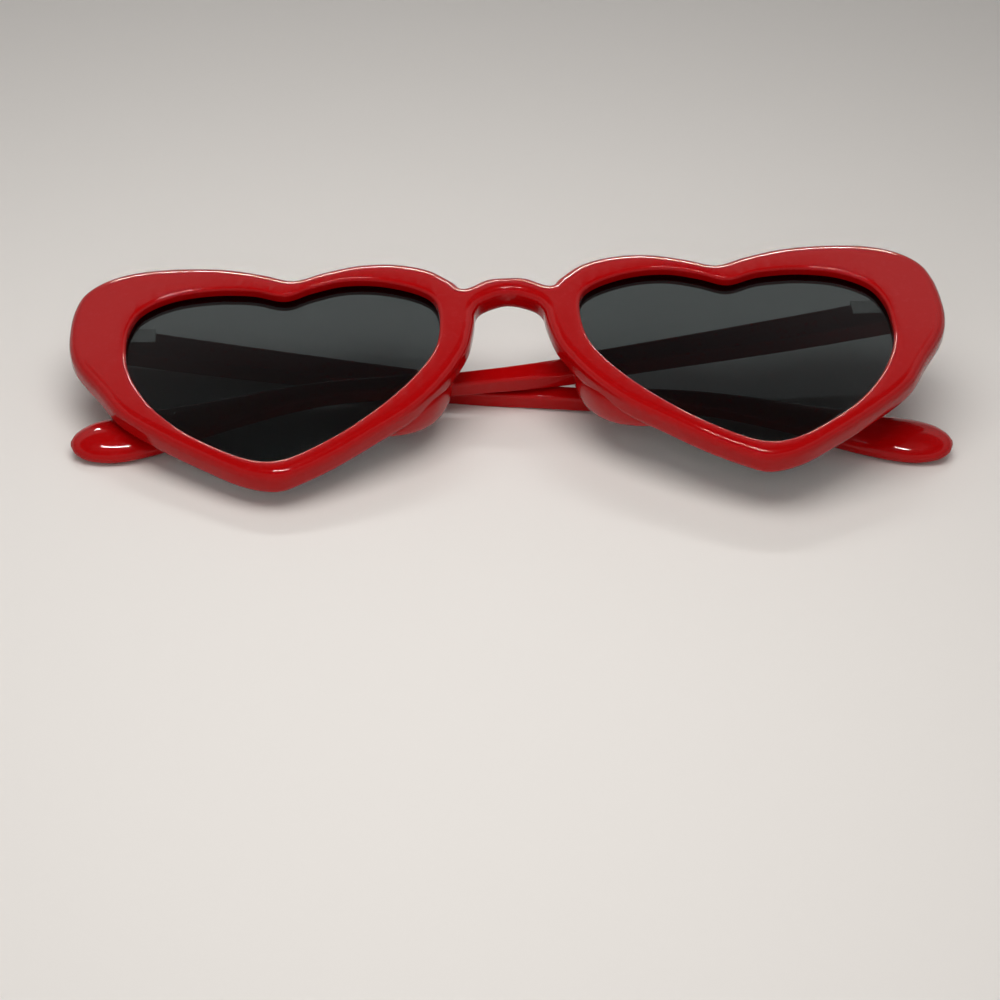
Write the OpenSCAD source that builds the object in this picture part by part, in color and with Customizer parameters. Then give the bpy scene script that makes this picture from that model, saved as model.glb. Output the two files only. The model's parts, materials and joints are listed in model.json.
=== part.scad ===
// Heart shaped sunglasses, lying folded on a table with the front facing up.
// Every piece is modelled in the wearing frame: X across the face, Y back from
// the front surface and Z up, with Z zero on the line through the eye centres.
// resting() then lays the whole pair down, so that the table is Z zero.
// Sides are the wearer's: left pieces are at +X, right pieces are at -X.

/* [Lenses] */
// Width of one heart shaped opening
eye_w = 49.7; // [47:0.1:52]
// Height of one heart shaped opening
eye_h = 43.2; // [40:0.1:46]
// Distance between the two openings
lens_gap = 22.6; // [20:0.1:25]
// Thickness of a lens
lens_t = 1.8; // [1.4:0.1:2.0]
// How far a lens reaches into the rim all round
lens_lip = 0.85; // [0.6:0.05:1.1]
// How far the lens lies behind the front surface
lens_set = 1.5; // [1.2:0.1:1.6]

/* [Front] */
// Thickness of the front from its front to its back surface
front_t = 4.2; // [4:0.1:5]
// Radius of the gentle curve of the front round the face
wrap_r = 1500; // [800:50:2500]
// Rim width at the outer corner
rim_side = 9.3; // [8.5:0.1:11]
// Rim width above the outer lobe
rim_top = 6.2; // [5.6:0.1:8]
// Rim width under the tip of the heart
rim_bottom = 3.7; // [3:0.1:5]
// Rim width beside the nose
rim_nose = 5.6; // [5:0.1:6.5]
// Height of the bridge's top edge above the eye centre line
bridge_top = 21.04; // [20:0.02:22]
// Height of the bridge itself at its middle
bridge_h = 4.1; // [3.5:0.1:4.6]

/* [Nose pads] */
// How far the moulded nose pads reach back from the front surface
pad_back = 8.8; // [7.5:0.1:10]
// Thickness of a nose pad
pad_t = 3; // [2.6:0.1:3.4]

/* [Temples] */
// Reach of a folded temple from its hinge axis to its tip
temple_reach = 134.4; // [130:0.2:141]
// Height of a temple at its hinge end
temple_h = 6.2; // [5.6:0.1:7]
// Thickness of a temple at its hinge end
temple_t = 3.3; // [3:0.1:3.8]
// How far the tip drops below the hinge
temple_drop = 29.8; // [26:0.1:32]
// How far the far end bows in towards the head
temple_bow = 4.3; // [3:0.1:4.3]
// Angle by which the folded outer temple stays short of the inner one
outer_fold = 3; // [3:0.1:6]

/* [Hinges] */
// Distance from the front's side edge in to the hinge axis
hinge_inset = 5.2; // [4.8:0.1:7]
// Depth of the hinge's middle below the top edge of the rim
hinge_drop = 6.6; // [6:0.1:8]
// How far the seat of a hinge rises behind the front's back surface
seat_rise = 1.2; // [0.8:0.1:2]
// Radius of the hinge knuckles
knuckle_r = 1.3; // [1.2:0.05:1.5]
// Height of one knuckle
knuckle_h = 1.04; // [0.9:0.02:1.2]
// Gap between neighbouring knuckles
knuckle_gap = 0.06; // [0.04:0.01:0.1]
// Radius of the hinge screw's shank
screw_r = 0.6; // [0.5:0.05:0.7]
// Radial clearance of the screw in the knuckles
screw_fit = 0.04; // [0.02:0.01:0.08]
// Thickness of the hinge leaves
leaf_t = 0.9; // [0.8:0.05:1.1]
// Length of the leaf let into the temple
leaf_l = 9; // [7:0.5:12]
// Clearance round a leaf in its pocket
leaf_fit = 0.04; // [0.02:0.01:0.08]
// Clearance between the moving temple and the front
swing_gap = 0.3; // [0.3:0.05:0.5]

/* [Resting pose] */
// Angle between the front and the table
lean = 12.53; // [0:0.01:30]
// Tilt of the pair towards its right side
roll = -3.07; // [-8:0.01:8]
// Height of the front's middle above the table
rest_height = 14.23; // [10:0.01:40]
// Shift across the table that centres the pair on the origin
rest_x = -0.2; // [-10:0.01:10]
// Shift along the table that centres the pair on the origin
rest_y = -1.99; // [-30:0.01:30]

/* [Hidden] */

// Overrun of every cut
cut = 1;
// Straight pieces between two neighbouring points of an outline
curve_steps = 4;
half_gap = lens_gap / 2 - rim_nose;
eye_x = (lens_gap + eye_w) / 2;
hinge_x = eye_x + eye_w / 2 + rim_side - hinge_inset;
hinge_z = eye_h / 2 + rim_top - hinge_drop;

// Points of the opening, from the notch round by the temple side,
// as shares of half its width and half its height
eye_shares = [
    [-0.011, 0.852], [0.198, 0.94], [0.454, 0.973], [0.708, 0.932], [0.897, 0.804],
    [0.978, 0.623], [1.001, 0.382], [0.971, 0.069], [0.838, -0.294], [0.636, -0.602],
    [0.389, -0.842], [0.206, -0.969], [0.052, -1], [-0.105, -0.935], [-0.361, -0.73],
    [-0.61, -0.456], [-0.813, -0.165], [-0.952, 0.128], [-1, 0.413], [-0.984, 0.698],
    [-0.875, 0.855], [-0.642, 0.973], [-0.403, 1], [-0.191, 0.934]
];

// Points of the rim's outer edge, from beside the bridge round to the nose,
// as shares of the rim's own half sizes, measured from the eye's centre
rim_shares = [
    [-0.903, 0.738], [-0.783, 0.857], [-0.61, 0.926], [-0.413, 0.936], [-0.217, 0.884],
    [-0.056, 0.824], [0.092, 0.894], [0.28, 0.968], [0.495, 1], [0.693, 0.991], [0.842, 0.931],
    [0.944, 0.819], [0.986, 0.672], [0.999, 0.502], [0.993, 0.323], [0.954, 0.159],
    [0.853, -0.063], [0.743, -0.317], [0.565, -0.549], [0.373, -0.76], [0.193, -0.934],
    [0.037, -0.999], [-0.091, -0.94], [-0.278, -0.796], [-0.465, -0.615], [-0.629, -0.451],
    [-0.731, -0.316], [-0.823, -0.162], [-0.9, 0], [-0.957, 0.14], [-0.984, 0.263], [-1, 0.371]
];

// Corners of a nose pad: x as a share of half the lens gap, y of the pad's
// reach and z of half the eye's height
pad_shares = [
    [0.98, 0.41, 0.17], [0.93, 0.80, 0.10], [0.98, 1.00, -0.05],
    [1.20, 0.92, -0.28], [1.50, 0.60, -0.44], [1.90, 0.48, -0.56]
];

// Rows along a temple: place along its reach, drop, bow, height and thickness,
// each as a share of the named size, and how far its section has turned into
// an ellipse
temple_shares = [
    [0, 0, 0, 1, 1, 0], [0.147, 0.148, 0, 0.94, 0.94, 0],
    [0.344, 0.322, 0, 0.77, 0.88, 0], [0.454, 0.409, 0.02, 0.66, 0.85, 0],
    [0.527, 0.463, 0.12, 0.56, 0.83, 0], [0.623, 0.544, 0.35, 0.55, 0.83, 0.08],
    [0.703, 0.624, 0.65, 0.61, 0.83, 0.2], [0.769, 0.725, 0.86, 0.81, 0.83, 0.38],
    [0.842, 0.846, 0.98, 1.13, 0.88, 0.62], [0.894, 0.913, 1.01, 1.45, 1, 0.85],
    [0.942, 0.963, 1.08, 1.65, 1.12, 1], [0.975, 0.99, 1.09, 1.35, 1, 1],
    [0.993, 1, 0.98, 0.79, 0.64, 1], [1, 1, 0.81, 0.19, 0.18, 1]
];
// Squareness of a temple's straight part in section: 2 would be an ellipse
section_power = 4.2;
section_sides = 20;

// Point on a smooth curve between b and c, with neighbours a and d
function curve_point(a, b, c, d, t) =
    b + t * ((c - a) + t * ((2 * a - 5 * b + 4 * c - d) + t * (3 * b - a - 3 * c + d))) / 2;

// Closed smooth curve through a ring of points
function closed_curve(pts) =
    let(n = len(pts))
    [for (i = [0:n - 1]) for (k = [0:curve_steps - 1])
        curve_point(pts[(i + n - 1) % n], pts[i], pts[(i + 1) % n], pts[(i + 2) % n], k / curve_steps)];

// Open smooth curve through a row of points
function open_curve(pts) =
    let(n = len(pts))
    concat(
        [for (i = [0:n - 2]) for (k = [0:curve_steps - 1])
            curve_point(pts[max(i - 1, 0)], pts[i], pts[i + 1], pts[min(i + 2, n - 1)], k / curve_steps)],
        [pts[n - 1]]);

function mirrored(pts) = [for (i = [len(pts) - 1:-1:0]) [-pts[i][0], pts[i][1]]];

// Opening of the left eye, grown by a margin on each side
function eye_points(margin = 0) =
    [for (p = eye_shares) [eye_x + p[0] * (eye_w / 2 + margin), p[1] * (eye_h / 2 + margin)]];

// Outer edge of the left rim
function rim_points() =
    [for (p = rim_shares) [
        eye_x + p[0] * (eye_w / 2 + (p[0] > 0 ? rim_side : rim_nose)),
        p[1] * (eye_h / 2 + (p[1] > 0 ? rim_top : rim_bottom))]];

// Edge of the whole front, round both hearts and the bridge
function front_points() =
    let(
        over = [[0.58 * half_gap, bridge_top - 0.09 * bridge_h],
                [1.21 * half_gap, bridge_top - 0.58 * bridge_h]],
        under = [[0.94 * half_gap, bridge_top - 1.99 * bridge_h],
                 [0.68 * half_gap, bridge_top - 1.4 * bridge_h]],
        half = concat(over, rim_points(), under))
    concat([[0, bridge_top]], half, [[0, bridge_top - bridge_h]], mirrored(half));

// Depth of the front's surface at a distance from the middle
function wrap_y(x) = wrap_r - sqrt(wrap_r * wrap_r - x * x);

lug_y = wrap_y(hinge_x + temple_t + knuckle_r) + front_t + seat_rise;
axis_y = lug_y + knuckle_r + swing_gap;
hinge_h = 5 * knuckle_h + 4 * knuckle_gap;
// Distance from the hinge axis to the inner face of the temple
temple_off = knuckle_r + swing_gap;

// Sheet that follows the curve of the front, between two depths
module curved_sheet(front_y, back_y) {
    reach = eye_w + rim_side + lens_gap;
    translate([0, wrap_r, -reach])
        difference() {
            cylinder(h = 2 * reach, r = wrap_r - front_y, $fn = 360);
            translate([0, 0, -cut]) cylinder(h = 2 * reach + 2 * cut, r = wrap_r - back_y, $fn = 360);
        }
}

// Outline in the face's plane, extruded back from ahead of the front
module outline_block(pts) {
    translate([0, front_t * 4, 0])
        rotate([90, 0, 0])
            linear_extrude(front_t * 5) polygon(pts);
}

// Heart outline of one lens at a margin, as a curved sheet
module heart_sheet(margin, front_y, back_y) {
    intersection() {
        outline_block(closed_curve(eye_points(margin)));
        curved_sheet(front_y, back_y);
    }
}

// Moulded pad beside the nose: a rounded fin behind the rim
module nose_pad() {
    r = pad_t / 2;
    hull()
        for (p = pad_shares)
            translate([p[0] * lens_gap / 2, p[1] * (pad_back - r), p[2] * eye_h / 2])
                sphere(r, $fn = 20);
}

// Raised seat behind the outer corner, which the open temple butts on
module hinge_seat() {
    seat_x = hinge_x - knuckle_r * 3;
    seat_w = knuckle_r * 3 + temple_off + temple_t;
    seat_d = seat_rise + front_t / 2;
    seat_h = temple_h + leaf_t;
    intersection() {
        translate([seat_x, lug_y - seat_d, hinge_z - seat_h / 2]) cube([seat_w, seat_d, seat_h]);
        outline_block(closed_curve(front_points()));
    }
}

// Pocket for the front leaf's plate, let into the seat
module front_leaf_pocket(margin = 0) {
    plate_w = knuckle_r * 4;
    translate([hinge_x - plate_w * 0.7 - margin, lug_y - leaf_t - margin, hinge_z - hinge_h / 2 - margin])
        cube([plate_w + 2 * margin, leaf_t + (margin > 0 ? margin + cut : 0), hinge_h + 2 * margin]);
}

module front_frame() {
    color("crimson")
        resting()
            difference() {
                union() {
                    intersection() {
                        outline_block(closed_curve(front_points()));
                        curved_sheet(0, front_t);
                    }
                    both_sides() {
                        nose_pad();
                        hinge_seat();
                    }
                }
                both_sides() {
                    outline_block(closed_curve(eye_points()));
                    heart_sheet(lens_lip + leaf_fit * 2, lens_set - leaf_fit, lens_set + lens_t + leaf_fit);
                    front_leaf_pocket(leaf_fit);
                }
            }
}

// Draws its children at the wearer's left and mirrored at the right
module both_sides() {
    children();
    mirror([1, 0, 0]) children();
}

module lens() {
    heart_sheet(lens_lip, lens_set, lens_set + lens_t);
}

module left_lens() {
    color([0.16, 0.19, 0.19, 0.75]) resting() lens();
}

module right_lens() {
    color([0.16, 0.19, 0.19, 0.75]) resting() mirror([1, 0, 0]) lens();
}

// One ring of the temple's section, in the hinge's own frame:
// x along the temple, y back and z up
function temple_ring(row) =
    let(
        along = row[0] * (temple_reach + knuckle_r) - knuckle_r,
        mid_y = temple_off + row[4] * temple_t / 2 - row[2] * temple_bow,
        mid_z = -row[1] * temple_drop,
        power = section_power - row[5] * (section_power - 2))
    [for (k = [0:section_sides - 1])
        let(
            a = 360 * (k + 0.5) / section_sides,
            cy = sign(cos(a)) * pow(abs(cos(a)), 2 / power),
            cz = sign(sin(a)) * pow(abs(sin(a)), 2 / power))
        [along, mid_y + cy * row[4] * temple_t / 2, mid_z + cz * row[3] * temple_h / 2]];

// Smooth arm from the hinge to the tip
module temple_arm() {
    rows = open_curve(temple_shares);
    rings = [for (r = rows) temple_ring(r)];
    n = len(rings);
    m = section_sides;
    points = [for (r = rings) for (p = r) p];
    sides = [for (i = [0:n - 2]) for (k = [0:m - 1]) for (half = [0, 1])
        let(a = i * m + k, b = i * m + (k + 1) % m)
        half == 0 ? [a, b + m, b] : [a, a + m, b + m]];
    ends = [[for (k = [0:m - 1]) k], [for (k = [m - 1:-1:0]) (n - 1) * m + k]];
    polyhedron(points, concat(sides, ends));
}

// Plate of the temple's leaf, let into the temple's inner face
module temple_leaf_plate(margin = 0) {
    translate([-knuckle_r - margin, temple_off - margin * 2, -hinge_h / 2 + knuckle_h - margin])
        cube([leaf_l + 2 * margin, leaf_t + 3 * margin, hinge_h - 2 * knuckle_h + 2 * margin]);
}

module temple() {
    difference() {
        temple_arm();
        temple_leaf_plate(leaf_fit);
    }
}

// Places a piece of the left temple, folded along the front
module at_left_hinge(fold = 0) {
    translate([hinge_x, axis_y, hinge_z])
        rotate([0, 0, -fold])
            mirror([1, 0, 0])
                children();
}

// Places a piece of the right temple, which folds over the left one
module at_right_hinge(fold = 0) {
    translate([-hinge_x, axis_y, hinge_z])
        rotate([0, 0, fold])
            children();
}

module left_temple() {
    color("crimson") resting() at_left_hinge() temple();
}

module right_temple() {
    color("crimson") resting() at_right_hinge(outer_fold) temple();
}

// One knuckle of the hinge with its bore, counted from the bottom
module knuckle(place) {
    translate([0, 0, -hinge_h / 2 + place * (knuckle_h + knuckle_gap)])
        cylinder(h = knuckle_h, r = knuckle_r, $fn = 48);
}

module knuckle_bore() {
    translate([0, 0, -hinge_h / 2 - cut])
        cylinder(h = hinge_h + 2 * cut, r = screw_r + screw_fit, $fn = 48);
}

// Leaf fixed in the front: a plate with the odd knuckles
module front_hinge_leaf() {
    difference() {
        union() {
            translate([-hinge_x, -axis_y, -hinge_z]) front_leaf_pocket();
            for (place = [0, 2, 4]) {
                knuckle(place);
                translate([-knuckle_r, lug_y - axis_y - leaf_t / 2, -hinge_h / 2 + place * (knuckle_h + knuckle_gap)])
                    cube([knuckle_r * 2, axis_y - lug_y + leaf_t / 2, knuckle_h]);
            }
        }
        knuckle_bore();
    }
}

// Leaf fixed in the temple: a plate with the even knuckles
module temple_hinge_leaf() {
    difference() {
        union() {
            temple_leaf_plate();
            for (place = [1, 3]) {
                knuckle(place);
                translate([-knuckle_r, 0, -hinge_h / 2 + place * (knuckle_h + knuckle_gap)])
                    cube([knuckle_r * 2, temple_off + leaf_t / 2, knuckle_h]);
            }
        }
        knuckle_bore();
    }
}

module left_front_hinge_leaf() {
    color("silver") resting() translate([hinge_x, axis_y, hinge_z]) front_hinge_leaf();
}

module right_front_hinge_leaf() {
    color("silver") resting() mirror([1, 0, 0]) translate([hinge_x, axis_y, hinge_z]) front_hinge_leaf();
}

module left_temple_hinge_leaf() {
    color("silver") resting() at_left_hinge() temple_hinge_leaf();
}

module right_temple_hinge_leaf() {
    color("silver") resting() at_right_hinge(outer_fold) temple_hinge_leaf();
}

// Slotted screw that joins the knuckles, with its head on top
module hinge_screw() {
    head_r = screw_r * 1.8;
    head_h = screw_r * 0.9;
    difference() {
        union() {
            translate([0, 0, -hinge_h / 2]) cylinder(h = hinge_h, r = screw_r, $fn = 48);
            translate([0, 0, hinge_h / 2]) cylinder(h = head_h, r = head_r, $fn = 48);
        }
        translate([-head_r - cut, -screw_r / 5, hinge_h / 2 + head_h / 2])
            cube([2 * head_r + 2 * cut, screw_r / 2.5, head_h]);
    }
}

module left_hinge_screw() {
    color("silver") resting() at_left_hinge() hinge_screw();
}

module right_hinge_screw() {
    color("silver") resting() at_right_hinge() hinge_screw();
}

// Lays the pair on its back on the table
module resting() {
    translate([rest_x, rest_y, rest_height])
        rotate([lean - 90, 0, 0])
            rotate([0, 0, roll])
                children();
}

front_frame();
left_lens();
right_lens();
left_temple();
right_temple();
left_front_hinge_leaf();
right_front_hinge_leaf();
left_temple_hinge_leaf();
right_temple_hinge_leaf();
left_hinge_screw();
right_hinge_screw();
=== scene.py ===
import json
import math

import bmesh
import bpy
from bpy.props import FloatProperty, FloatVectorProperty, IntProperty, PointerProperty
from mathutils import Matrix, Vector
from mathutils.geometry import interpolate_bezier


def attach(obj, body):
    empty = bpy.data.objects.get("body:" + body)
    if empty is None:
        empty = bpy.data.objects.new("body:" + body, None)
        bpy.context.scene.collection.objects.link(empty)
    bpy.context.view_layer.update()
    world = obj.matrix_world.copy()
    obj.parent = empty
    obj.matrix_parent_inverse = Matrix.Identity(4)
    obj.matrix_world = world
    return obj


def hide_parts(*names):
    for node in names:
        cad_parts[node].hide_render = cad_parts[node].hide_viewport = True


bl_info = {
    "name": "Heart Shaped Sunglasses",
    "version": (1, 0, 0),
    "blender": (4, 5, 0),
    "location": "View3D > Sidebar > Sunglasses",
    "description": "Models folded heart shaped sunglasses round their packed frame",
    "category": "Object",
}

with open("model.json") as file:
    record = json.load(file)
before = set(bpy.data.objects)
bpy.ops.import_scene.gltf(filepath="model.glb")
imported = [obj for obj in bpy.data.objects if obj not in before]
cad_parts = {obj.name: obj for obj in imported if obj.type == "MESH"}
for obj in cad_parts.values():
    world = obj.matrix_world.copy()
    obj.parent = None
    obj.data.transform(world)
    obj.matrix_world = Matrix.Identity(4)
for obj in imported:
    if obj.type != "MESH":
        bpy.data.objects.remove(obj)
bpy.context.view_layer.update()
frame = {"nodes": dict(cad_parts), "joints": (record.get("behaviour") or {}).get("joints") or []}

# Sides are the wearer's: left is at +X, right at -X.
# Shapes are drawn in the wearing frame: X across the face, Y back from the
# front surface and Z up, with zero on the line through the eye centres.

# The heart opening, from the notch round by the temple side,
# as shares of half its width and half its height
EYE_SHARES = [
    (-0.011, 0.852), (0.198, 0.94), (0.454, 0.973), (0.708, 0.932), (0.897, 0.804),
    (0.978, 0.623), (1.001, 0.382), (0.971, 0.069), (0.838, -0.294), (0.636, -0.602),
    (0.389, -0.842), (0.206, -0.969), (0.052, -1), (-0.105, -0.935), (-0.361, -0.73),
    (-0.61, -0.456), (-0.813, -0.165), (-0.952, 0.128), (-1, 0.413), (-0.984, 0.698),
    (-0.875, 0.855), (-0.642, 0.973), (-0.403, 1), (-0.191, 0.934),
]

# The rim's outer edge, from beside the bridge round to the nose,
# as shares of the rim's own half sizes
RIM_SHARES = [
    (-0.903, 0.738), (-0.783, 0.857), (-0.61, 0.926), (-0.413, 0.936), (-0.217, 0.884),
    (-0.056, 0.824), (0.092, 0.894), (0.28, 0.968), (0.495, 1), (0.693, 0.991), (0.842, 0.931),
    (0.944, 0.819), (0.986, 0.672), (0.999, 0.502), (0.993, 0.323), (0.954, 0.159),
    (0.853, -0.063), (0.743, -0.317), (0.565, -0.549), (0.373, -0.76), (0.193, -0.934),
    (0.037, -0.999), (-0.091, -0.94), (-0.278, -0.796), (-0.465, -0.615), (-0.629, -0.451),
    (-0.731, -0.316), (-0.823, -0.162), (-0.9, 0), (-0.957, 0.14), (-0.984, 0.263),
    (-1, 0.371),
]

# Rows along a temple: place along its reach, drop and bow, then height and
# thickness, each as a share of the named size, and how far the section's
# corners have turned from the edge radius into an ellipse
TEMPLE_SHARES = [
    ((0, 0, 0), (1, 1, 0)), ((0.147, 0.148, 0), (0.94, 0.94, 0)),
    ((0.344, 0.322, 0), (0.77, 0.88, 0)), ((0.454, 0.409, 0.02), (0.66, 0.85, 0)),
    ((0.527, 0.463, 0.12), (0.56, 0.83, 0)), ((0.623, 0.544, 0.35), (0.55, 0.83, 0.08)),
    ((0.703, 0.624, 0.65), (0.61, 0.83, 0.2)), ((0.769, 0.725, 0.86), (0.81, 0.83, 0.38)),
    ((0.842, 0.846, 0.98), (1.13, 0.88, 0.62)), ((0.894, 0.913, 1.01), (1.45, 1, 0.85)),
    ((0.942, 0.963, 1.08), (1.65, 1.12, 1)), ((0.975, 0.99, 1.09), (1.35, 1, 1)),
    ((0.993, 1, 0.98), (0.79, 0.64, 1)), ((1, 1, 0.81), (0.19, 0.18, 1)),
]

# Rows along a nose pad, from under the bridge to its foot: place of its
# middle as shares of half the lens gap, of the pad's reach and of half the
# eye's height, then its half width across and its half reach back
PAD_ROWS = [
    ((1.02, 0.40, 0.34), (0.24, 0.08)), ((0.99, 0.50, 0.25), (0.56, 0.28)),
    ((0.96, 0.56, 0.14), (0.84, 0.40)), ((0.98, 0.57, 0.00), (0.98, 0.43)),
    ((1.09, 0.56, -0.16), (1.02, 0.44)), ((1.28, 0.52, -0.32), (0.98, 0.38)),
    ((1.55, 0.46, -0.46), (0.84, 0.27)), ((1.90, 0.40, -0.58), (0.50, 0.12)),
]


class FrontSizes(bpy.types.PropertyGroup):
    """Sizes of the front"""
    eye_width: FloatProperty(name="Eye width", description="Width of one heart opening", default=0.0497, unit="LENGTH")
    eye_height: FloatProperty(name="Eye height", description="Height of one heart opening", default=0.0432, unit="LENGTH")
    lens_gap: FloatProperty(name="Lens gap", description="Distance between the two openings", default=0.0226, unit="LENGTH")
    thickness: FloatProperty(name="Thickness", description="Front to back surface", default=0.0042, unit="LENGTH")
    wrap_radius: FloatProperty(name="Wrap radius", description="Radius of the curve round the face", default=1.5, unit="LENGTH")
    rim_side: FloatProperty(name="Rim at the side", description="Rim width at the outer corner", default=0.0093, unit="LENGTH")
    rim_top: FloatProperty(name="Rim at the top", description="Rim width above the outer lobe", default=0.0062, unit="LENGTH")
    rim_bottom: FloatProperty(name="Rim at the tip", description="Rim width under the tip", default=0.0037, unit="LENGTH")
    rim_nose: FloatProperty(name="Rim at the nose", description="Rim width beside the nose", default=0.0056, unit="LENGTH")
    bridge_top: FloatProperty(name="Bridge top", description="Height of the bridge above the eye line", default=0.02104, unit="LENGTH")
    bridge_height: FloatProperty(name="Bridge height", description="Height of the bridge at its middle", default=0.0041, unit="LENGTH")
    outer_round: FloatProperty(name="Outer edge radius", description="Rounding of the front's outer edge", default=0.0015, unit="LENGTH")
    inner_round: FloatProperty(name="Opening edge radius", description="Rounding of the heart openings", default=0.0006, unit="LENGTH")
    pad_reach: FloatProperty(name="Pad reach", description="Reach of the nose pads behind the front", default=0.0088, unit="LENGTH")
    pad_thickness: FloatProperty(name="Pad thickness", description="Thickness of a nose pad", default=0.003, unit="LENGTH")
    seat_rise: FloatProperty(name="Seat rise", description="Rise of a hinge seat behind the front", default=0.0012, unit="LENGTH")


class LensSizes(bpy.types.PropertyGroup):
    """Sizes of the lenses"""
    thickness: FloatProperty(name="Thickness", description="Thickness of a lens", default=0.0018, unit="LENGTH")
    lip: FloatProperty(name="Lip", description="Reach of a lens into the rim", default=0.00085, unit="LENGTH")
    setback: FloatProperty(name="Setback", description="Depth of a lens behind the front", default=0.0015, unit="LENGTH")
    groove_fit: FloatProperty(name="Groove fit", description="Clearance of a lens in its groove", default=0.00004, unit="LENGTH")


class TempleSizes(bpy.types.PropertyGroup):
    """Sizes of the temples and their hinges"""
    reach: FloatProperty(name="Reach", description="Hinge axis to the tip", default=0.1344, unit="LENGTH")
    height: FloatProperty(name="Height", description="Height at the hinge", default=0.0062, unit="LENGTH")
    thickness: FloatProperty(name="Thickness", description="Thickness at the hinge", default=0.0033, unit="LENGTH")
    drop: FloatProperty(name="Drop", description="Drop of the tip below the hinge", default=0.0298, unit="LENGTH")
    bow: FloatProperty(name="Bow", description="Bow of the far end towards the head", default=0.0043, unit="LENGTH")
    edge_radius: FloatProperty(name="Edge radius", description="Rounding of the long edges", default=0.0006, unit="LENGTH")
    outer_fold: FloatProperty(name="Outer fold", description="Angle by which the right temple stays off the left one", default=math.radians(3), subtype="ANGLE")
    hinge_x: FloatProperty(name="Hinge place", description="Hinge axis from the middle", default=0.0651, unit="LENGTH")
    hinge_y: FloatProperty(name="Hinge depth", description="Hinge axis behind the front", default=0.00862, unit="LENGTH")
    hinge_z: FloatProperty(name="Hinge height", description="Middle of the hinge above the eye line", default=0.0212, unit="LENGTH")
    hinge_height: FloatProperty(name="Knuckle stack", description="Height of all knuckles", default=0.00544, unit="LENGTH")
    knuckle_radius: FloatProperty(name="Knuckle radius", description="Radius of the knuckles", default=0.0013, unit="LENGTH")
    swing_gap: FloatProperty(name="Swing gap", description="Clearance of the temple at the front", default=0.0003, unit="LENGTH")
    leaf_thickness: FloatProperty(name="Leaf thickness", description="Thickness of a hinge leaf", default=0.0009, unit="LENGTH")
    leaf_length: FloatProperty(name="Leaf length", description="Length of the leaf in the temple", default=0.009, unit="LENGTH")


class FinishColours(bpy.types.PropertyGroup):
    """Colours of the finishes"""
    red: FloatVectorProperty(name="Red plastic", description="Colour of the moulded plastic", subtype="COLOR", default=(0.36, 0.0012, 0.0018))
    worn_red: FloatVectorProperty(name="Handled red", description="Paler red of the handled faces", subtype="COLOR", default=(0.37, 0.005, 0.007))
    tint: FloatVectorProperty(name="Lens tint", description="Colour that a lens lets through", subtype="COLOR", default=(0.088, 0.104, 0.108))
    metal: FloatVectorProperty(name="Hinge metal", description="Colour of the hinges", subtype="COLOR", default=(0.14, 0.135, 0.13))
    table: FloatVectorProperty(name="Table", description="Colour of the floor", subtype="COLOR", default=(0.72, 0.69, 0.66))


class StudioSettings(bpy.types.PropertyGroup):
    """Light and outline smoothness"""
    curve_steps: IntProperty(name="Curve steps", description="Straight pieces between two outline points", default=6)
    softbox_power: FloatProperty(name="Softbox power", description="Power of the overhead light", default=0.65, unit="POWER")
    fill_power: FloatProperty(name="Fill power", description="Power of the light from the viewer's side", default=1.15, unit="POWER")
    strip_power: FloatProperty(name="Strip power", description="Power of each narrow lamp that draws the highlights", default=3.2, unit="POWER")
    room_level: FloatProperty(name="Room light", description="Strength of the light from all round", default=0.20)


def wearing_frame():
    """Place of the wearing frame in the row's frame, from the two hinges."""
    joints = {j["name"]: j for j in frame["joints"]}
    right, left = joints["right_hinge"], joints["left_hinge"]
    sizes = bpy.context.scene.temple_sizes
    across = (Vector(left["pos_m"]) - Vector(right["pos_m"])).normalized()
    up = Vector(right["axis"]).normalized()
    back = up.cross(across)
    middle = (Vector(left["pos_m"]) + Vector(right["pos_m"])) / 2
    origin = middle - back * sizes.hinge_y - up * sizes.hinge_z
    place = Matrix((across, back, up)).transposed().to_4x4()
    place.translation = origin
    return place


def smooth_points(points, steps, closed=True):
    """Points of a smooth curve through the given ones, corners kept."""
    points = [Vector(p) for p in points]
    count = len(points)
    result = []
    for i in range(count if closed else count - 1):
        if closed:
            a, b, c, d = (points[(i + k) % count] for k in (-1, 0, 1, 2))
        else:
            a, b, c, d = (points[min(max(i + k, 0), count - 1)] for k in (-1, 0, 1, 2))
        result += interpolate_bezier(b, b + (c - a) / 6, c - (d - b) / 6, c, steps + 1)[:steps]
    return result if closed else result + [points[-1]]


def eye_outline(side, margin=0.0):
    """Outline of one heart opening, grown by a margin."""
    front = bpy.context.scene.front_sizes
    centre = (front.lens_gap + front.eye_width) / 2
    wide, high = front.eye_width / 2 + margin, front.eye_height / 2 + margin
    shares = [(side * (centre + x * wide), 0, z * high) for x, z in EYE_SHARES]
    return smooth_points(shares, bpy.context.scene.studio_settings.curve_steps)


def front_outline():
    """Outline of the whole front, round both hearts and the bridge."""
    front = bpy.context.scene.front_sizes
    centre = (front.lens_gap + front.eye_width) / 2
    half = front.eye_width / 2
    half_gap = front.lens_gap / 2 - front.rim_nose
    top, thick = front.bridge_top, front.bridge_height
    side = [(0.58 * half_gap, top - 0.09 * thick), (1.21 * half_gap, top - 0.58 * thick)]
    for x, z in RIM_SHARES:
        wide = half + (front.rim_side if x > 0 else front.rim_nose)
        high = front.eye_height / 2 + (front.rim_top if z > 0 else front.rim_bottom)
        side.append((centre + x * wide, z * high))
    side += [(0.94 * half_gap, top - 1.99 * thick), (0.68 * half_gap, top - 1.4 * thick)]
    ring = [(0, top)] + side + [(0, top - thick)] + [(-x, z) for x, z in reversed(side)]
    return smooth_points([(x, 0, z) for x, z in ring], bpy.context.scene.studio_settings.curve_steps)


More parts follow.
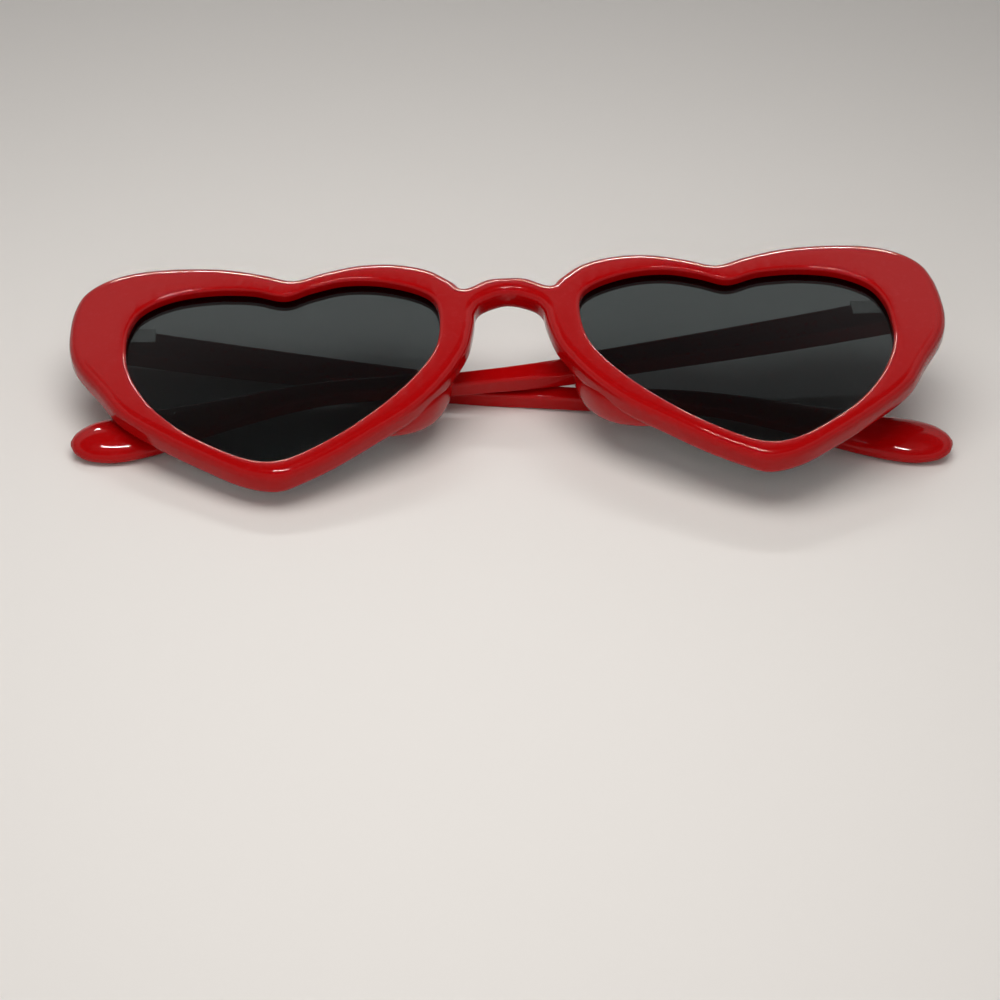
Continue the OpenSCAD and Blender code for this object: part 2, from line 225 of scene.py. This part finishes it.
def add_ring(bm, points):
    """Closed ring of edges through the points."""
    verts = [bm.verts.new(p) for p in points]
    return [bm.edges.new((verts[i - 1], verts[i])) for i in range(len(verts))]


def add_wall(bm, points, front_depth, back_depth):
    """Wall along an outline between two depths, given back as its two rings."""
    rings = [add_ring(bm, [Vector((p.x, depth, p.z)) for p in points]) for depth in (front_depth, back_depth)]
    bmesh.ops.bridge_loops(bm, edges=rings[0] + rings[1])
    return rings


def fill_rings(bm, edges):
    """Flat face across one ring, or between several."""
    made = bmesh.ops.triangle_fill(bm, use_beauty=True, use_dissolve=False, edges=edges)
    return [g for g in made["geom"] if isinstance(g, bmesh.types.BMFace)]


def round_steps(radius, steps):
    """Inward and outward moves that turn a quarter round edge."""
    angles = [math.pi / 2 * k / steps for k in range(steps + 1)]
    return [(radius * (math.cos(a) - math.cos(b)), radius * (math.sin(b) - math.sin(a)))
            for a, b in zip(angles, angles[1:])]


def extrude_ring(bm, edges, move=(0, 0, 0), scale=None, centre=(0, 0, 0)):
    """Extends a ring by a move, and by a scale about its heart's centre."""
    made = bmesh.ops.extrude_edge_only(bm, edges=edges)["geom"]
    verts = [g for g in made if isinstance(g, bmesh.types.BMVert)]
    bmesh.ops.translate(bm, verts=verts, vec=move)
    if scale:
        bmesh.ops.scale(bm, verts=verts, vec=scale, space=Matrix.Translation(-Vector(centre)))
    return [g for g in made if isinstance(g, bmesh.types.BMEdge) and all(v in verts for v in g.verts)]


def rounded_cap(bm, edges, radius, toward, steps=5):
    """Rounds the outline inwards and leaves the ring that bounds its flat."""
    cap = fill_rings(bm, edges)
    for inward, rise in round_steps(radius, steps):
        bmesh.ops.inset_region(bm, faces=cap, use_boundary=True, use_even_offset=True, thickness=inward)
        verts = list({v for f in cap for v in f.verts})
        bmesh.ops.translate(bm, verts=verts, vec=(0, toward * rise, 0))
    bmesh.ops.inset_region(bm, faces=cap, use_boundary=True, use_even_offset=True, thickness=radius * 0.2)
    inner = [e for f in cap for e in f.edges if sum(g in cap for g in e.link_faces) == 1]
    bmesh.ops.delete(bm, geom=cap, context="FACES_ONLY")
    loose = [e for e in bm.edges if not e.link_faces and e not in inner]
    bmesh.ops.delete(bm, geom=loose, context="EDGES")
    return [e for e in set(inner) if e.is_valid]


def wrap_round_face(bm):
    """Bends a flat piece along the front's gentle curve."""
    front = bpy.context.scene.front_sizes
    reach = front.eye_width + front.rim_side + front.lens_gap
    spacing = 0.0024
    for k in range(int(-reach / spacing), int(reach / spacing) + 1):
        bmesh.ops.bisect_plane(bm, geom=bm.verts[:] + bm.edges[:] + bm.faces[:], dist=1e-7,
                               plane_co=(k * spacing, 0, 0), plane_no=(1, 0, 0))
    radius = front.wrap_radius
    for v in bm.verts:
        v.co.y = radius - math.sqrt((radius - v.co.y) ** 2 - v.co.x ** 2)


def finish_piece(name, bm, place, material, body, nodes, angle=40):
    """Turns a bmesh into a piece of the pair, set in the row's frame."""
    bmesh.ops.remove_doubles(bm, verts=bm.verts, dist=2e-6)
    bmesh.ops.transform(bm, matrix=place, verts=bm.verts)
    bmesh.ops.recalc_face_normals(bm, faces=bm.faces)
    mesh = bpy.data.meshes.new(name)
    bm.to_mesh(mesh)
    bm.free()
    mesh.shade_smooth()
    mesh.set_sharp_from_angle(angle=math.radians(angle))
    mesh.materials.append(material)
    piece = bpy.data.objects.new(name, mesh)
    bpy.context.scene.collection.objects.link(piece)
    flats = piece.modifiers.new("Even shading", "WEIGHTED_NORMAL")
    flats.keep_sharp = True
    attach(piece, body)
    if nodes:
        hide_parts(*nodes)
    return piece


def box_bmesh(bm, low, high, radius=0.0, segments=3):
    """Block between two corners with rounded edges."""
    low, high = Vector(low), Vector(high)
    made = bmesh.ops.create_cube(bm, size=1)["verts"]
    bmesh.ops.scale(bm, verts=made, vec=high - low)
    bmesh.ops.translate(bm, verts=made, vec=(low + high) / 2)
    if radius:
        edges = list({e for v in made for e in v.link_edges})
        bmesh.ops.bevel(bm, geom=edges, offset=radius, segments=segments, profile=0.5,
                        affect="EDGES", material=-1, clamp_overlap=True)


def carve(piece, low, high, place):
    """Cuts a block-shaped pocket into a piece."""
    bm = bmesh.new()
    box_bmesh(bm, low, high)
    bmesh.ops.transform(bm, matrix=place, verts=bm.verts)
    bmesh.ops.recalc_face_normals(bm, faces=bm.faces)
    mesh = bpy.data.meshes.new("pocket")
    bm.to_mesh(mesh)
    bm.free()
    tool = bpy.data.objects.new("pocket", mesh)
    bpy.context.scene.collection.objects.link(tool)
    cut = piece.modifiers.new("Pocket", "BOOLEAN")
    cut.operation = "DIFFERENCE"
    cut.solver = "EXACT"
    cut.object = tool
    shading = piece.modifiers["Even shading"]
    shading.show_viewport = False
    bpy.context.view_layer.update()
    graph = bpy.context.evaluated_depsgraph_get()
    cut_mesh = bpy.data.meshes.new_from_object(piece.evaluated_get(graph), depsgraph=graph)
    piece.modifiers.remove(cut)
    shading.show_viewport = True
    piece.data = cut_mesh
    piece.data.set_sharp_from_angle(angle=math.radians(40))
    bpy.data.objects.remove(tool)
    bpy.data.meshes.remove(mesh)


def nodes_of(material):
    material.use_nodes = True
    tree = material.node_tree
    tree.nodes.clear()
    output = tree.nodes.new("ShaderNodeOutputMaterial")
    shader = tree.nodes.new("ShaderNodeBsdfPrincipled")
    tree.links.new(shader.outputs["BSDF"], output.inputs["Surface"])
    return tree, shader


def handling_marks():
    """Shared group: fine waviness of a moulded surface, with faint scuffs."""
    group = bpy.data.node_groups.get("handling_marks")
    if group:
        return group
    group = bpy.data.node_groups.new("handling_marks", "ShaderNodeTree")
    face = group.interface
    face.new_socket(name="Position", in_out="INPUT", socket_type="NodeSocketVector")
    face.new_socket(name="Wave Scale", in_out="INPUT", socket_type="NodeSocketFloat")
    face.new_socket(name="Scuff Scale", in_out="INPUT", socket_type="NodeSocketFloat")
    face.new_socket(name="Roughness", in_out="INPUT", socket_type="NodeSocketFloat")
    face.new_socket(name="Height", in_out="OUTPUT", socket_type="NodeSocketFloat")
    face.new_socket(name="Scuffs", in_out="OUTPUT", socket_type="NodeSocketFloat")
    face.new_socket(name="Roughness", in_out="OUTPUT", socket_type="NodeSocketFloat")
    nodes, links = group.nodes, group.links
    source = nodes.new("NodeGroupInput")
    sink = nodes.new("NodeGroupOutput")
    wave = nodes.new("ShaderNodeTexNoise")
    wave.inputs["Detail"].default_value = 1.5
    links.new(source.outputs["Position"], wave.inputs["Vector"])
    links.new(source.outputs["Wave Scale"], wave.inputs["Scale"])
    scuff = nodes.new("ShaderNodeTexNoise")
    scuff.inputs["Detail"].default_value = 6
    scuff.inputs["Roughness"].default_value = 0.7
    links.new(source.outputs["Position"], scuff.inputs["Vector"])
    links.new(source.outputs["Scuff Scale"], scuff.inputs["Scale"])
    mask = nodes.new("ShaderNodeMapRange")
    mask.interpolation_type = "SMOOTHSTEP"
    mask.inputs["From Min"].default_value = 0.50
    mask.inputs["From Max"].default_value = 0.72
    links.new(scuff.outputs["Fac"], mask.inputs["Value"])
    add = nodes.new("ShaderNodeMath")
    add.operation = "MULTIPLY_ADD"
    add.inputs[1].default_value = 0.05
    links.new(mask.outputs["Result"], add.inputs[0])
    links.new(source.outputs["Roughness"], add.inputs[2])
    links.new(wave.outputs["Fac"], sink.inputs["Height"])
    links.new(mask.outputs["Result"], sink.inputs["Scuffs"])
    links.new(add.outputs["Value"], sink.inputs["Roughness"])
    return group


def add_marks(tree, shader, wave_scale, scuff_scale, roughness, bump, distance):
    """Places the handling marks in a material."""
    place = tree.nodes.new("ShaderNodeTexCoord")
    marks = tree.nodes.new("ShaderNodeGroup")
    marks.node_tree = handling_marks()
    marks.inputs["Wave Scale"].default_value = wave_scale
    marks.inputs["Scuff Scale"].default_value = scuff_scale
    marks.inputs["Roughness"].default_value = roughness
    tree.links.new(place.outputs["Object"], marks.inputs["Position"])
    height = tree.nodes.new("ShaderNodeBump")
    height.inputs["Strength"].default_value = bump
    height.inputs["Distance"].default_value = distance
    tree.links.new(marks.outputs["Height"], height.inputs["Height"])
    tree.links.new(height.outputs["Normal"], shader.inputs["Normal"])
    tree.links.new(marks.outputs["Roughness"], shader.inputs["Roughness"])
    return marks


def red_plastic():
    """Polished injection-moulded plastic, slightly see-through."""
    found = bpy.data.materials.get("moulded_red")
    if found:
        return found
    colours = bpy.context.scene.finish_colours
    material = bpy.data.materials.new("moulded_red")
    tree, shader = nodes_of(material)
    marks = add_marks(tree, shader, 260, 900, 0.05, 0.05, 0.0002)
    mix = tree.nodes.new("ShaderNodeMix")
    mix.data_type = "RGBA"
    mix.inputs["A"].default_value = (*colours.red, 1)
    mix.inputs["B"].default_value = (*colours.worn_red, 1)
    tree.links.new(marks.outputs["Scuffs"], mix.inputs["Factor"])
    tree.links.new(mix.outputs["Result"], shader.inputs["Base Color"])
    shader.inputs["IOR"].default_value = 1.49
    shader.inputs["Specular IOR Level"].default_value = 0.24
    shader.inputs["Subsurface Weight"].default_value = 0.10
    shader.inputs["Subsurface Radius"].default_value = (1.0, 0.12, 0.08)
    shader.inputs["Subsurface Scale"].default_value = 0.0015
    return material


def tinted_lens():
    """Dark grey-green lens."""
    found = bpy.data.materials.get("smoked_lens")
    if found:
        return found
    colours = bpy.context.scene.finish_colours
    material = bpy.data.materials.new("smoked_lens")
    tree, shader = nodes_of(material)
    shader.inputs["Roughness"].default_value = 0.0
    shader.inputs["Base Color"].default_value = (*colours.tint, 1)
    shader.inputs["Transmission Weight"].default_value = 1.0
    shader.inputs["IOR"].default_value = 1.2
    return material


def hinge_metal():
    """Tumbled dark metal."""
    found = bpy.data.materials.get("tumbled_metal")
    if found:
        return found
    colours = bpy.context.scene.finish_colours
    material = bpy.data.materials.new("tumbled_metal")
    tree, shader = nodes_of(material)
    marks = add_marks(tree, shader, 1800, 2400, 0.36, 0.20, 0.0001)
    mix = tree.nodes.new("ShaderNodeMix")
    mix.data_type = "RGBA"
    mix.inputs["A"].default_value = (*colours.metal, 1)
    mix.inputs["B"].default_value = (*(c * 0.6 for c in colours.metal), 1)
    tree.links.new(marks.outputs["Scuffs"], mix.inputs["Factor"])
    tree.links.new(mix.outputs["Result"], shader.inputs["Base Color"])
    shader.inputs["Metallic"].default_value = 1.0
    return material


class SUNGLASSES_OT_front(bpy.types.Operator):
    """Moulds the front: both heart rims, the bridge, the nose pads and the hinge seats"""
    bl_idname = "sunglasses.front"
    bl_label = "Front"

    def execute(self, context):
        bm = bmesh.new()
        self.add_rims(context, bm)
        wrap_round_face(bm)
        for side in (1, -1):
            self.add_pad(context, bm, side)
            self.add_seat(context, bm, side)
        piece = finish_piece("front_moulding", bm, wearing_frame(), red_plastic(),
                             "front", ["front_frame"])
        self.carve_leaf_pockets(context, piece)
        return {"FINISHED"}

    def add_rims(self, context, bm):
        front, lens = context.scene.front_sizes, context.scene.lens_sizes
        centre = (front.lens_gap + front.eye_width) / 2
        rings = add_wall(bm, front_outline(), front.outer_round, front.thickness - front.outer_round)
        rounding = {toward: rounded_cap(bm, ring, front.outer_round, toward)
                    for toward, ring in zip((-1, 1), rings)}
        lip = lens.lip + 2 * lens.groove_fit
        radius = front.inner_round
        groove = (lens.setback - lens.groove_fit, lens.setback + lens.thickness + lens.groove_fit)
        for side in (1, -1):
            middle = (side * centre, 0, 0)

            def grown(old, new):
                return ((front.eye_width / 2 + new) / (front.eye_width / 2 + old), 1,
                        (front.eye_height / 2 + new) / (front.eye_height / 2 + old))

            ring = add_ring(bm, [Vector((p.x, groove[0], p.z)) for p in eye_outline(side, lip)])
            last = extrude_ring(bm, ring, (0, groove[1] - groove[0], 0))
            for toward, edges in ((-1, ring), (1, last)):
                start = groove[0] if toward < 0 else groove[1]
                stop = radius if toward < 0 else front.thickness - radius
                edges = extrude_ring(bm, edges, scale=grown(lip, 0), centre=middle)
                edges = extrude_ring(bm, edges, (0, stop - start, 0))
                size = 0.0
                for rise, outward in reversed(round_steps(radius, 4)):
                    edges = extrude_ring(bm, edges, (0, toward * rise, 0), grown(size, size + outward), middle)
                    size += outward
                rounding[toward] += edges
        for toward in (-1, 1):
            fill_rings(bm, rounding[toward])

    def add_pad(self, context, bm, side):
        front = context.scene.front_sizes
        rings = []
        rows = smooth_points([(x * front.lens_gap / 2, y * front.pad_reach, z * front.eye_height / 2)
                              for (x, y, z), _ in PAD_ROWS], 4, closed=False)
        halves = smooth_points([(w * front.pad_thickness / 2, 0, d * front.pad_reach)
                                for _, (w, d) in PAD_ROWS], 4, closed=False)
        for i, (middle, half) in enumerate(zip(rows, halves)):
            ahead = rows[min(i + 1, len(rows) - 1)] - rows[max(i - 1, 0)]
            ahead.y = 0
            ahead.normalize()
            made = bmesh.ops.create_circle(bm, segments=24, radius=1, cap_ends=False)["verts"]
            turn = Matrix((ahead.cross(Vector((0, 1, 0))), Vector((0, 1, 0)), ahead)).transposed().to_4x4()
            turn = Matrix.Translation(middle) @ turn @ Matrix.Diagonal((half.x, half.z, 1, 1))
            bmesh.ops.transform(bm, matrix=turn, verts=made)
            rings.append(list({e for v in made for e in v.link_edges}))
        for one, two in zip(rings, rings[1:]):
            bmesh.ops.bridge_loops(bm, edges=one + two)
        for ring in (rings[0], rings[-1]):
            bmesh.ops.contextual_create(bm, geom=ring)
        verts = list({v for ring in rings for e in ring for v in e.verts})
        wrap = front.wrap_radius
        for v in verts:
            v.co.y += wrap - math.sqrt(wrap ** 2 - v.co.x ** 2)
            v.co.x *= side

    def add_seat(self, context, bm, side):
        front, arm = context.scene.front_sizes, context.scene.temple_sizes
        top = arm.hinge_y - arm.knuckle_radius - arm.swing_gap
        wide = (arm.knuckle_radius * 3, arm.knuckle_radius + arm.swing_gap + arm.thickness)
        tall = (arm.height + arm.leaf_thickness) / 2
        xs = sorted((side * (arm.hinge_x - wide[0]), side * (arm.hinge_x + wide[1])))
        seat = bmesh.new()
        box_bmesh(seat, (xs[0], top - front.seat_rise - front.thickness / 2, arm.hinge_z - tall),
                  (xs[1], top, arm.hinge_z + tall), 0.0004)
        self.keep_inside_outline(seat, side)
        mesh = bpy.data.meshes.new("seat")
        seat.to_mesh(mesh)
        seat.free()
        bm.from_mesh(mesh)
        bpy.data.meshes.remove(mesh)

    def keep_inside_outline(self, seat, side):
        """Cuts a block back to the convex corner of the front's outline."""
        front, arm = bpy.context.scene.front_sizes, bpy.context.scene.temple_sizes
        inset = front.outer_round * 0.35
        ring = [p for p in front_outline() if p.x * side > arm.hinge_x - arm.knuckle_radius * 3 and p.z > 0]
        for one, two in zip(ring, ring[1:]):
            outward = Vector((two.z - one.z, 0, one.x - two.x)).normalized()
            if outward.x * side < 0 or (outward.x == 0 and outward.z < 0):
                outward.negate()
            made = bmesh.ops.bisect_plane(seat, geom=seat.verts[:] + seat.edges[:] + seat.faces[:], dist=1e-7,
                                          plane_co=one - outward * inset, plane_no=outward, clear_outer=True)
            rim = [g for g in made["geom_cut"] if isinstance(g, bmesh.types.BMEdge)]
            if rim:
                bmesh.ops.contextual_create(seat, geom=rim)

    def carve_leaf_pockets(self, context, piece):
        arm = context.scene.temple_sizes
        top = arm.hinge_y - arm.knuckle_radius - arm.swing_gap
        plate = arm.knuckle_radius * 4
        fit = context.scene.lens_sizes.groove_fit
        for side in (1, -1):
            xs = sorted((side * (arm.hinge_x - plate * 0.7 - fit), side * (arm.hinge_x + plate * 0.3 + fit)))
            carve(piece, (xs[0], top - arm.leaf_thickness - fit, arm.hinge_z - arm.hinge_height / 2 - fit),
                  (xs[1], top + 0.001, arm.hinge_z + arm.hinge_height / 2 + fit), wearing_frame())


class SUNGLASSES_OT_lenses(bpy.types.Operator):
    """Cuts the two tinted lenses"""
    bl_idname = "sunglasses.lenses"
    bl_label = "Lenses"

    def execute(self, context):
        lens = context.scene.lens_sizes
        radius = 0.0002
        for side, name in ((1, "left_lens"), (-1, "right_lens")):
            bm = bmesh.new()
            rings = add_wall(bm, eye_outline(side, lens.lip), lens.setback + radius,
                             lens.setback + lens.thickness - radius)
            for toward, ring in zip((-1, 1), rings):
                fill_rings(bm, rounded_cap(bm, ring, radius, toward, 2))
            wrap_round_face(bm)
            finish_piece("tinted_" + name, bm, wearing_frame(), tinted_lens(), "front", [name])
        return {"FINISHED"}


class SUNGLASSES_OT_temples(bpy.types.Operator):
    """Moulds the two temples, each from its hinge to its tip"""
    bl_idname = "sunglasses.temples"
    bl_label = "Temples"

    def execute(self, context):
        arm = context.scene.temple_sizes
        for side, name, body in ((1, "left_temple", "left_arm"), (-1, "right_temple", "right_arm")):
            place = wearing_frame() @ Matrix.Translation((side * arm.hinge_x, arm.hinge_y, arm.hinge_z))
            if side > 0:
                place = place @ Matrix.Diagonal((-1, 1, 1, 1))
            else:
                place = place @ Matrix.Rotation(arm.outer_fold, 4, "Z")
            bm = bmesh.new()
            self.add_arm(context, bm)
            piece = finish_piece(name + "_moulding", bm, place, red_plastic(), body, [name])
            inner = arm.knuckle_radius + arm.swing_gap
            fit = context.scene.lens_sizes.groove_fit
            tall = arm.hinge_height * 0.309 + fit
            carve(piece, (-arm.knuckle_radius - 0.001, inner - 0.001, -tall),
                  (arm.leaf_length - arm.knuckle_radius + fit, inner + arm.leaf_thickness + fit, tall), place)
        return {"FINISHED"}

    def add_arm(self, context, bm):
        arm = context.scene.temple_sizes
        steps = context.scene.studio_settings.curve_steps
        rows = smooth_points([row for row, _ in TEMPLE_SHARES], steps, closed=False)
        forms = smooth_points([form for _, form in TEMPLE_SHARES], steps, closed=False)
        rings = []
        for row, form in zip(rows, forms):
            tall, thick = form.x * arm.height / 2, form.y * arm.thickness / 2
            middle = Vector((row.x * (arm.reach + arm.knuckle_radius) - arm.knuckle_radius,
                             arm.knuckle_radius + arm.swing_gap + thick - row.z * arm.bow,
                             -row.y * arm.drop))
            corner = [min(arm.edge_radius + form.z * (half - arm.edge_radius), half) for half in (thick, tall)]
            made = bmesh.ops.create_circle(bm, segments=32, radius=1, cap_ends=False)["verts"]
            bmesh.ops.rotate(bm, verts=made, matrix=Matrix.Rotation(math.pi / 32, 3, "Z"))
            for v in made:
                y = math.copysign(thick - corner[0], v.co.x) + corner[0] * v.co.x
                z = math.copysign(tall - corner[1], v.co.y) + corner[1] * v.co.y
                v.co = middle + Vector((0, y, z))
            rings.append(list({e for v in made for e in v.link_edges}))
        for one, two in zip(rings, rings[1:]):
            bmesh.ops.bridge_loops(bm, edges=one + two)
        for ring in (rings[0], rings[-1]):
            bmesh.ops.contextual_create(bm, geom=ring)
        bmesh.ops.bevel(bm, geom=rings[0], offset=arm.edge_radius * 0.7, segments=4, profile=0.5,
                        affect="EDGES", material=-1, clamp_overlap=True)


class SUNGLASSES_OT_hinges(bpy.types.Operator):
    """Gives the hinge leaves and screws their metal"""
    bl_idname = "sunglasses.hinges"
    bl_label = "Hinges"

    def execute(self, context):
        for name, node in frame["nodes"].items():
            if "hinge" in name:
                node.data.materials.clear()
                node.data.materials.append(hinge_metal())
        return {"FINISHED"}


class SUNGLASSES_OT_stage(bpy.types.Operator):
    """Sets the table, the camera and the lights"""
    bl_idname = "sunglasses.stage"
    bl_label = "Stage"

    def execute(self, context):
        self.add_table(context)
        self.add_camera(context)
        self.add_lights(context)
        self.add_room(context)
        context.scene.view_settings.view_transform = "Standard"
        return {"FINISHED"}

    def add_table(self, context):
        bm = bmesh.new()
        bmesh.ops.create_grid(bm, x_segments=1, y_segments=1, size=1.5)
        mesh = bpy.data.meshes.new("table")
        bm.to_mesh(mesh)
        bm.free()
        material = bpy.data.materials.new("table_top")
        tree, shader = nodes_of(material)
        shader.inputs["Base Color"].default_value = (*context.scene.finish_colours.table, 1)
        shader.inputs["Roughness"].default_value = 0.55
        mesh.materials.append(material)
        table = bpy.data.objects.new("table", mesh)
        context.scene.collection.objects.link(table)

    def add_camera(self, context):
        data = bpy.data.cameras.new("photo_camera")
        data.sensor_width = 36
        data.lens = 97.41
        data.clip_start = 0.01
        camera = bpy.data.objects.new("photo_camera", data)
        context.scene.collection.objects.link(camera)
        right = Vector((0.998143, -0.000006, -0.060912))
        up = Vector((0.040963, -0.740029, 0.671326))
        ahead = Vector((0.045078, 0.672575, 0.738658))
        turn = Matrix((right, up, -ahead)).transposed().to_4x4()
        turn.translation = Vector((-0.022253, -0.268232, -0.327818))
        camera.matrix_world = wearing_frame() @ turn
        context.scene.camera = camera

    def add_lamp(self, context, name, place, target, size, power, colour):
        data = bpy.data.lights.new(name, "AREA")
        data.shape = "RECTANGLE"
        data.size, data.size_y = size
        data.energy = power
        data.color = colour
        lamp = bpy.data.objects.new(name, data)
        lamp.location = place
        lamp.rotation_euler = (Vector(target) - Vector(place)).to_track_quat("-Z", "Y").to_euler()
        context.scene.collection.objects.link(lamp)
        return lamp

    def add_lights(self, context):
        studio = context.scene.studio_settings
        softbox = self.add_lamp(context, "overhead_softbox", (-0.02, -0.06, 0.28), (-0.01, -0.05, 0), (0.28, 0.24),
                                studio.softbox_power, (1, 0.985, 0.965))
        fill = self.add_lamp(context, "front_fill", (-0.10, -0.60, 0.32), (0, 0, 0), (0.40, 0.30),
                             studio.fill_power, (1, 0.985, 0.965))
        for lamp in (softbox, fill):
            lamp.visible_glossy = lamp.visible_transmission = False
        for name, place, size in (("ceiling_strip", (-0.02, -0.03, 0.80), (0.34, 0.016)),
                                  ("rear_strip", (0.02, 0.62, 0.54), (0.50, 0.014))):
            lamp = self.add_lamp(context, name, place, (0, 0, 0), size, studio.strip_power, (1, 0.98, 0.95))
            lamp.visible_diffuse = False

    def add_room(self, context):
        world = bpy.data.worlds.new("room")
        context.scene.world = world
        world.use_nodes = True
        tree = world.node_tree
        tree.nodes.clear()
        output = tree.nodes.new("ShaderNodeOutputWorld")
        place = tree.nodes.new("ShaderNodeTexCoord")
        split = tree.nodes.new("ShaderNodeSeparateXYZ")
        tree.links.new(place.outputs["Generated"], split.inputs["Vector"])
        walls = tree.nodes.new("ShaderNodeValToRGB")
        ramp = walls.color_ramp
        ramp.elements[0].position = 0.0
        ramp.elements[0].color = (0.75, 0.73, 0.71, 1)
        ramp.elements[1].position = 1.0
        ramp.elements[1].color = (0.35, 0.34, 0.33, 1)
        for position, level in ((0.45, 0.36), (0.755, 0.70), (0.778, 0.33), (0.80, 0.10), (0.94, 0.07)):
            stop = ramp.elements.new(position)
            stop.color = (level, level * 0.98, level * 0.96, 1)
        tree.links.new(split.outputs["Z"], walls.inputs["Fac"])
        seen = tree.nodes.new("ShaderNodeBackground")
        tree.links.new(walls.outputs["Color"], seen.inputs["Color"])
        lit = tree.nodes.new("ShaderNodeBackground")
        lit.inputs["Color"].default_value = (1, 0.985, 0.97, 1)
        lit.inputs["Strength"].default_value = context.scene.studio_settings.room_level
        pale = tree.nodes.new("ShaderNodeBackground")
        pale.inputs["Color"].default_value = (0.72, 0.70, 0.68, 1)
        path = tree.nodes.new("ShaderNodeLightPath")
        direct = tree.nodes.new("ShaderNodeMath")
        direct.operation = "MAXIMUM"
        tree.links.new(path.outputs["Is Camera Ray"], direct.inputs[0])
        tree.links.new(path.outputs["Is Transmission Ray"], direct.inputs[1])
        first = tree.nodes.new("ShaderNodeMixShader")
        tree.links.new(direct.outputs["Value"], first.inputs["Fac"])
        tree.links.new(lit.outputs["Background"], first.inputs[1])
        tree.links.new(pale.outputs["Background"], first.inputs[2])
        second = tree.nodes.new("ShaderNodeMixShader")
        tree.links.new(path.outputs["Is Glossy Ray"], second.inputs["Fac"])
        tree.links.new(first.outputs["Shader"], second.inputs[1])
        tree.links.new(seen.outputs["Background"], second.inputs[2])
        tree.links.new(second.outputs["Shader"], output.inputs["Surface"])


class VIEW3D_PT_sunglasses(bpy.types.Panel):
    """Steps and sizes of the heart shaped sunglasses"""
    bl_label = "Sunglasses"
    bl_idname = "VIEW3D_PT_sunglasses"
    bl_space_type = "VIEW_3D"
    bl_region_type = "UI"
    bl_category = "Sunglasses"

    def draw(self, context):
        layout = self.layout
        for operator in OPERATORS:
            layout.operator(operator.bl_idname)
        for name, group in GROUPS.items():
            box = layout.box()
            box.label(text=name.replace("_", " ").capitalize())
            for prop in group.__annotations__:
                box.prop(getattr(context.scene, name), prop)


GROUPS = {
    "front_sizes": FrontSizes,
    "lens_sizes": LensSizes,
    "temple_sizes": TempleSizes,
    "finish_colours": FinishColours,
    "studio_settings": StudioSettings,
}
OPERATORS = (
    SUNGLASSES_OT_front,
    SUNGLASSES_OT_lenses,
    SUNGLASSES_OT_temples,
    SUNGLASSES_OT_hinges,
    SUNGLASSES_OT_stage,
)
CLASSES = (*GROUPS.values(), *OPERATORS, VIEW3D_PT_sunglasses)


def register():
    for cls in CLASSES:
        bpy.utils.register_class(cls)
    for name, group in GROUPS.items():
        setattr(bpy.types.Scene, name, PointerProperty(type=group))


def unregister():
    for name in GROUPS:
        delattr(bpy.types.Scene, name)
    for cls in reversed(CLASSES):
        bpy.utils.unregister_class(cls)


def main():
    register()
    bpy.ops.sunglasses.front()
    bpy.ops.sunglasses.lenses()
    bpy.ops.sunglasses.temples()
    bpy.ops.sunglasses.hinges()
    bpy.ops.sunglasses.stage()


if __name__ == "__main__":
    main()
